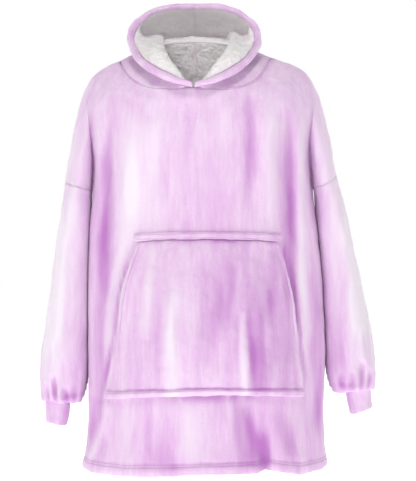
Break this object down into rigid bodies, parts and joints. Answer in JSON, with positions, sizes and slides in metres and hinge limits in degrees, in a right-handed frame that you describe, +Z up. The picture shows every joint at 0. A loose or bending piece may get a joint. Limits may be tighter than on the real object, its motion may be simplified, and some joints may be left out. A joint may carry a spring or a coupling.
{
  "type": "wearable blanket hoodie",
  "caption": "Oversized plush wearable blanket with a sherpa-lined hood, wide sleeves gathered into cuffs and a kangaroo pocket.",
  "frame": {"origin": "on the shoulder line between front and back, at the middle of the width, where the wearer's shoulders carry the garment", "axes": "+Z up along the wearer, -Y the way the front faces, +X towards the sleeve on the viewer's right as seen from the front"},
  "size_m": [0.7065, 0.3868, 0.9829],
  "materials": {
    "plush": "short velvety plush pile, matt with a soft sheen",
    "sherpa": "curly sherpa pile, matt"
  },
  "bodies": {
    "root": {"front": "plush", "back": "plush", "sleeve_left": "plush", "sleeve_right": "plush", "cuff_left": "plush", "cuff_right": "plush", "hood_left": "plush", "hood_right": "plush", "hood_rim_left": "plush", "hood_rim_right": "plush", "pocket": "plush", "pocket_top_band": "plush", "hood_lining_left": "sherpa", "hood_lining_right": "sherpa", "back_lining_left": "sherpa", "back_lining_right": "sherpa"}
  },
  "joints": []
}
